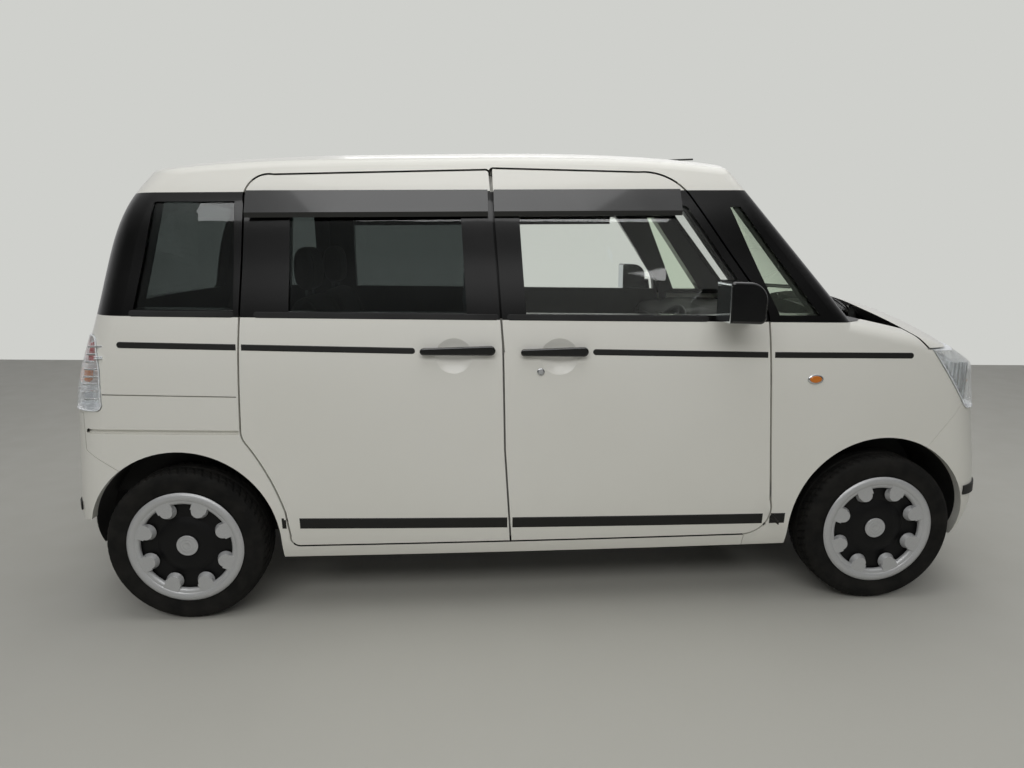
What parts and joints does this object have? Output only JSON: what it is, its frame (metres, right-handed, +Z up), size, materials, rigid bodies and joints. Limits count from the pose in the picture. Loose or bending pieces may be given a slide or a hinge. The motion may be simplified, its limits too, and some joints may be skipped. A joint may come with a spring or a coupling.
{
  "type": "kei car",
  "caption": "Small tall-wagon passenger car with hinged front doors, fixed sliding rear doors, tailgate, bonnet and steered front wheels",
  "frame": {"origin": "on the ground under the middle of the car's length and width", "axes": "+X forward, +Y to the car's left, +Z up"},
  "size_m": [3.3983, 1.78, 1.6419],
  "materials": {
    "pearl_white_paint": "gloss",
    "floor_paint": "satin",
    "tyre_rubber": "matte",
    "black_plastic": "satin",
    "silver_wheel": "satin",
    "clear_glass": "gloss",
    "privacy_glass": "gloss",
    "lamp_clear": "gloss",
    "cast_steel": "matte",
    "seat_fabric": "matte"
  },
  "bodies": {
    "root": {"aerial": "black_plastic", "body_side_left": "pearl_white_paint", "body_side_right": "pearl_white_paint", "bumper_trim": "black_plastic", "cowl": "black_plastic", "dashboard": "black_plastic", "engine_block": "cast_steel", "exhaust": "cast_steel", "floor_pan": "floor_paint", "front_bumper": "pearl_white_paint", "front_quarter_glass": "clear_glass", "front_seats": "seat_fabric", "front_suspension": "cast_steel", "front_wing_left": "pearl_white_paint", "front_wing_right": "pearl_white_paint", "fuel_tank": "cast_steel", "grille": "black_plastic", "headlamps": "lamp_clear", "inside_mirror": "black_plastic", "radiator": "cast_steel", "rear_axle": "cast_steel", "rear_bumper": "pearl_white_paint", "rear_quarter_glass": "privacy_glass", "rear_seats": "seat_fabric", "roof": "pearl_white_paint", "sliding_door_glass": "privacy_glass", "sliding_door_left": "pearl_white_paint", "sliding_door_right": "pearl_white_paint", "sliding_door_seals": "black_plastic", "sliding_door_trim": "black_plastic", "tail_lamps": "lamp_clear", "wheel_wells": "black_plastic", "windscreen": "clear_glass"},
    "front_door_left": {"front_door_left": "pearl_white_paint", "front_door_glass_left": "clear_glass", "door_mirror_left": "black_plastic", "front_door_trim_left": "black_plastic"},
    "front_door_right": {"front_door_right": "pearl_white_paint", "front_door_glass_right": "clear_glass", "door_mirror_right": "black_plastic", "front_door_trim_right": "black_plastic"},
    "tailgate": {"tailgate": "pearl_white_paint", "tailgate_glass": "privacy_glass", "rear_wiper": "black_plastic"},
    "bonnet": {"bonnet": "pearl_white_paint"},
    "knuckle_left": {"knuckle_left": "cast_steel"},
    "knuckle_right": {"knuckle_right": "cast_steel"},
    "steering_wheel": {"steering_wheel": "black_plastic"},
    "front_wheel_left": {"front_tyre_left": "tyre_rubber", "front_wheel_left": "silver_wheel", "front_wheel_dish_left": "black_plastic"},
    "front_wheel_right": {"front_tyre_right": "tyre_rubber", "front_wheel_right": "silver_wheel", "front_wheel_dish_right": "black_plastic"},
    "rear_wheel_left": {"rear_tyre_left": "tyre_rubber", "rear_wheel_left": "silver_wheel", "rear_wheel_dish_left": "black_plastic"},
    "rear_wheel_right": {"rear_tyre_right": "tyre_rubber", "rear_wheel_right": "silver_wheel", "rear_wheel_dish_right": "black_plastic"}
  },
  "joints": [
    {"name": "front_door_right_swing", "type": "hinge", "parent": "root", "child": "front_door_right", "pos_m": [0.768, -0.72, 0.63], "axis": [0, 0, 1], "range_deg": [0, 65]},
    {"name": "front_door_left_swing", "type": "hinge", "parent": "root", "child": "front_door_left", "pos_m": [0.768, 0.72, 0.63], "axis": [0, 0, -1], "range_deg": [0, 65]},
    {"name": "tailgate_lift", "type": "hinge", "parent": "root", "child": "tailgate", "pos_m": [-1.376, 0, 1.5315], "axis": [0, 1, 0], "range_deg": [0, 80]},
    {"name": "bonnet_lift", "type": "hinge", "parent": "root", "child": "bonnet", "pos_m": [1.262, 0, 1.04293], "axis": [0, -1, 0], "range_deg": [0, 50]},
    {"name": "steer_left", "type": "hinge", "parent": "root", "child": "knuckle_left", "pos_m": [1.2125, 0.6465, 0], "axis": [0, -0.2079, 0.9781], "range_deg": [-35, 35]},
    {"name": "steer_right", "type": "hinge", "parent": "root", "child": "knuckle_right", "pos_m": [1.2125, -0.6465, 0], "axis": [0, 0.2079, 0.9781], "range_deg": [-35, 35]},
    {"name": "steering_wheel_turn", "type": "hinge", "parent": "root", "child": "steering_wheel", "pos_m": [0.47, -0.345, 0.905], "axis": [-0.829, 0, 0.5592], "range_deg": [-490, 490]},
    {"name": "front_wheel_left_roll", "type": "hinge", "parent": "knuckle_left", "child": "front_wheel_left", "pos_m": [1.2125, 0.6525, 0.274], "axis": [0, 1, 0], "continuous": true},
    {"name": "front_wheel_right_roll", "type": "hinge", "parent": "knuckle_right", "child": "front_wheel_right", "pos_m": [1.2125, -0.6525, 0.274], "axis": [0, 1, 0], "continuous": true},
    {"name": "rear_wheel_left_roll", "type": "hinge", "parent": "root", "child": "rear_wheel_left", "pos_m": [-1.2425, 0.6475, 0.274], "axis": [0, 1, 0], "continuous": true},
    {"name": "rear_wheel_right_roll", "type": "hinge", "parent": "root", "child": "rear_wheel_right", "pos_m": [-1.2425, -0.6475, 0.274], "axis": [0, 1, 0], "continuous": true}
  ],
  "couplings": [
    {"joint": "steer_right", "follows": "steer_left", "ratio": 1},
    {"joint": "steering_wheel_turn", "follows": "steer_left", "ratio": 14}
  ]
}
